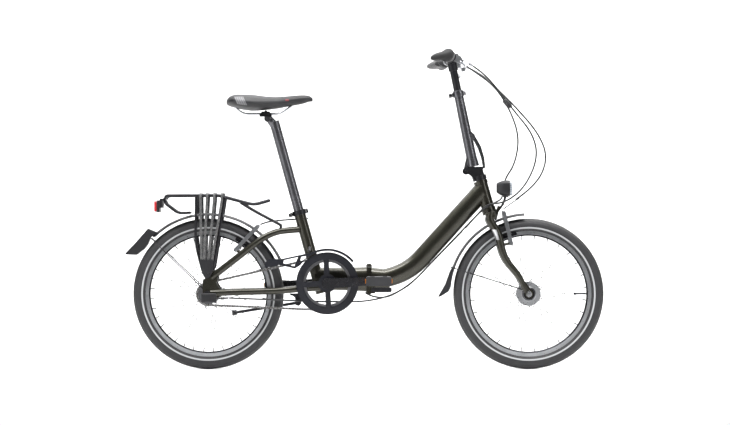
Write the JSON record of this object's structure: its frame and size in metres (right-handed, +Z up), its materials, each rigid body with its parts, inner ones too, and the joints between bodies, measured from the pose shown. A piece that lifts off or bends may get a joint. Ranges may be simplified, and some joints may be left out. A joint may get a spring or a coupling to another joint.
{
  "type": "folding bicycle",
  "caption": "Small-wheeled folding bicycle with a low curved main tube, frame and handlepost hinges, telescopic bar and seat, rear rack, mudguards and lights.",
  "frame": {"origin": "on the ground, centre plane, at the middle of the overall length", "axes": "+X towards the front wheel, +Y to the rider's left, +Z up"},
  "size_m": [1.588, 0.5906, 1.05],
  "materials": {
    "frame_paint": "satin metallic",
    "black_alloy": "anodised",
    "silver_alloy": "satin",
    "steel": "satin",
    "tyre_rubber": "matte",
    "black_plastic": "satin",
    "soft_black": "matte",
    "saddle_cover": "matte",
    "strap_fabric": "woven",
    "red_lens": "gloss",
    "clear_lens": "gloss"
  },
  "bodies": {
    "rear_frame": {"rear_main_tube": "frame_paint", "seat_tube": "frame_paint", "seat_stays": "frame_paint", "chainstays": "frame_paint", "rear_axle": "steel", "seat_clamp": "black_alloy", "rack": "black_alloy", "rack_straps": "strap_fabric", "tail_light_housing": "black_plastic", "tail_light_lens": "red_lens", "rear_mudguard": "black_plastic", "chain_guard": "black_plastic", "chain": "steel", "gear_shift_box": "black_plastic", "lower_cables": "soft_black", "kickstand_bracket": "black_alloy"},
    "front_frame": {"main_tube": "frame_paint", "head_tube": "frame_paint"},
    "fork_unit": {"fork": "frame_paint", "front_axle": "steel", "front_mudguard": "black_plastic", "headlight_housing": "black_plastic", "headlight_lens": "clear_lens", "handlepost_base": "frame_paint", "upper_cables": "soft_black"},
    "handlepost_unit": {"handlepost": "black_alloy"},
    "cockpit": {"handlebar_stem": "black_alloy", "handlebar": "black_alloy", "grips": "soft_black"},
    "frame_latch": {"frame_latch_lever": "black_alloy"},
    "post_latch": {"handlepost_latch_lever": "black_alloy"},
    "telescope_quick_release": {"telescope_lever": "black_alloy"},
    "seat_quick_release": {"seat_clamp_lever": "black_alloy"},
    "seat_unit": {"seatpost": "black_alloy", "saddle_clamp": "black_alloy", "saddle_rails": "steel", "saddle": "saddle_cover"},
    "crankset": {"right_crank": "silver_alloy", "left_crank": "silver_alloy", "chainring": "steel", "chainring_guard": "black_plastic"},
    "right_pedal_unit": {"right_pedal": "black_plastic"},
    "left_pedal_unit": {"left_pedal": "black_plastic"},
    "rear_wheel": {"rear_tyre": "tyre_rubber", "rear_rim": "silver_alloy", "rear_spokes": "steel", "rear_hub": "silver_alloy"},
    "rear_sprocket_unit": {"rear_sprocket": "steel"},
    "front_wheel": {"front_tyre": "tyre_rubber", "front_rim": "silver_alloy", "front_spokes": "steel", "front_hub": "silver_alloy"},
    "kickstand": {"kickstand_leg": "black_alloy"},
    "right_lever": {"right_brake_lever": "silver_alloy"},
    "left_lever": {"left_brake_lever": "silver_alloy"},
    "shifter": {"twist_shifter": "black_plastic"},
    "front_arm_left": {"front_brake_arm_left": "silver_alloy"},
    "front_arm_right": {"front_brake_arm_right": "silver_alloy"},
    "rear_arm_left": {"rear_brake_arm_left": "silver_alloy"},
    "rear_arm_right": {"rear_brake_arm_right": "silver_alloy"}
  },
  "joints": [
    {"name": "frame_fold", "type": "hinge", "parent": "rear_frame", "child": "front_frame", "pos_m": [0.0155, 0.05, 0.298], "axis": [0, 0, -1], "range_deg": [-152, 0], "deforming": ["lower_cables"]},
    {"name": "frame_latch_turn", "type": "hinge", "parent": "front_frame", "child": "frame_latch", "pos_m": [0.0285, -0.046, 0.264], "axis": [0, 0, -1], "range_deg": [0, 110]},
    {"name": "steering", "type": "hinge", "parent": "front_frame", "child": "fork_unit", "pos_m": [0.39921, 0, 0.575], "axis": [-0.2756, 0, 0.9613], "range_deg": [-40, 40], "deforming": ["upper_cables"]},
    {"name": "handlepost_fold", "type": "hinge", "parent": "fork_unit", "child": "handlepost_unit", "pos_m": [0.3375, 0, 0.657], "axis": [0, -1, 0], "range_deg": [0, 100], "deforming": ["upper_cables"]},
    {"name": "handlepost_latch_turn", "type": "hinge", "parent": "handlepost_unit", "child": "post_latch", "pos_m": [0.3625, 0, 0.77], "axis": [0, -1, 0], "range_deg": [0, 95]},
    {"name": "handlebar_height", "type": "slide", "parent": "handlepost_unit", "child": "cockpit", "axis": [-0.2028, 0, 0.9792], "range_m": [-0.06, 0.03], "deforming": ["upper_cables"]},
    {"name": "telescope_lever_turn", "type": "hinge", "parent": "handlepost_unit", "child": "telescope_quick_release", "pos_m": [0.28655, 0.0249, 0.90775], "axis": [0.2028, 0, -0.9792], "range_deg": [0, 150]},
    {"name": "seat_height", "type": "slide", "parent": "rear_frame", "child": "seat_unit", "axis": [-0.2672, 0, 0.9636], "range_m": [-0.25, 0.03]},
    {"name": "seat_lever_turn", "type": "hinge", "parent": "rear_frame", "child": "seat_quick_release", "pos_m": [-0.2442, 0.0285, 0.51112], "axis": [0.2672, 0, -0.9636], "range_deg": [0, 150]},
    {"name": "crank_spin", "type": "hinge", "parent": "rear_frame", "child": "crankset", "pos_m": [-0.1225, 0, 0.2855], "axis": [0, 1, 0], "continuous": true, "deforming": ["chain"]},
    {"name": "right_pedal_spin", "type": "hinge", "parent": "crankset", "child": "right_pedal_unit", "pos_m": [0.04727, -0.12, 0.2944], "axis": [0, 1, 0], "continuous": true},
    {"name": "left_pedal_spin", "type": "hinge", "parent": "crankset", "child": "left_pedal_unit", "pos_m": [-0.29227, 0.12, 0.2766], "axis": [0, 1, 0], "continuous": true},
    {"name": "rear_sprocket_spin", "type": "hinge", "parent": "rear_frame", "child": "rear_sprocket_unit", "pos_m": [-0.5175, -0.042, 0.25], "axis": [0, 1, 0], "continuous": true},
    {"name": "rear_wheel_spin", "type": "hinge", "parent": "rear_frame", "child": "rear_wheel", "pos_m": [-0.5175, 0, 0.25], "axis": [0, 1, 0], "continuous": true},
    {"name": "front_wheel_spin", "type": "hinge", "parent": "fork_unit", "child": "front_wheel", "pos_m": [0.5445, 0, 0.25], "axis": [0, 1, 0], "continuous": true},
    {"name": "kickstand_swing", "type": "hinge", "parent": "rear_frame", "child": "kickstand", "pos_m": [-0.2205, 0.055, 0.219], "axis": [0, -1, 0], "range_deg": [0, 100]},
    {"name": "right_brake_lever_pull", "type": "hinge", "parent": "cockpit", "child": "right_lever", "pos_m": [0.3195, -0.136, 1.012], "axis": [-0.6342, 0, -0.7732], "range_deg": [0, 15], "stiffness_Nm_per_rad": 0.6},
    {"name": "left_brake_lever_pull", "type": "hinge", "parent": "cockpit", "child": "left_lever", "pos_m": [0.3195, 0.136, 1.012], "axis": [0.6342, 0, 0.7732], "range_deg": [0, 15], "stiffness_Nm_per_rad": 0.6},
    {"name": "twist_shifter_turn", "type": "hinge", "parent": "cockpit", "child": "shifter", "pos_m": [0.27793, -0.17, 1.02909], "axis": [-0.0866, -0.9961, -0.0173], "range_deg": [-35, 35]},
    {"name": "front_brake_arm_left_pivot", "type": "hinge", "parent": "fork_unit", "child": "front_arm_left", "pos_m": [0.4855, 0.038, 0.418], "axis": [0.9749, 0, 0.2228], "range_deg": [0, 2.5]},
    {"name": "front_brake_arm_right_pivot", "type": "hinge", "parent": "fork_unit", "child": "front_arm_right", "pos_m": [0.4855, -0.038, 0.418], "axis": [-0.9749, 0, -0.2228], "range_deg": [0, 2.5]},
    {"name": "rear_brake_arm_left_pivot", "type": "hinge", "parent": "rear_frame", "child": "rear_arm_left", "pos_m": [-0.4249, 0.046, 0.3973], "axis": [0.7326, 0, -0.6807], "range_deg": [0, 2.5]},
    {"name": "rear_brake_arm_right_pivot", "type": "hinge", "parent": "rear_frame", "child": "rear_arm_right", "pos_m": [-0.4249, -0.046, 0.3973], "axis": [-0.7326, 0, 0.6807], "range_deg": [0, 2.5]}
  ],
  "couplings": [
    {"joint": "rear_sprocket_spin", "follows": "crank_spin", "ratio": 2.4444},
    {"joint": "front_brake_arm_left_pivot", "follows": "left_brake_lever_pull", "ratio": 0.166},
    {"joint": "front_brake_arm_right_pivot", "follows": "left_brake_lever_pull", "ratio": 0.166},
    {"joint": "rear_brake_arm_left_pivot", "follows": "right_brake_lever_pull", "ratio": 0.166},
    {"joint": "rear_brake_arm_right_pivot", "follows": "right_brake_lever_pull", "ratio": 0.166}
  ]
}
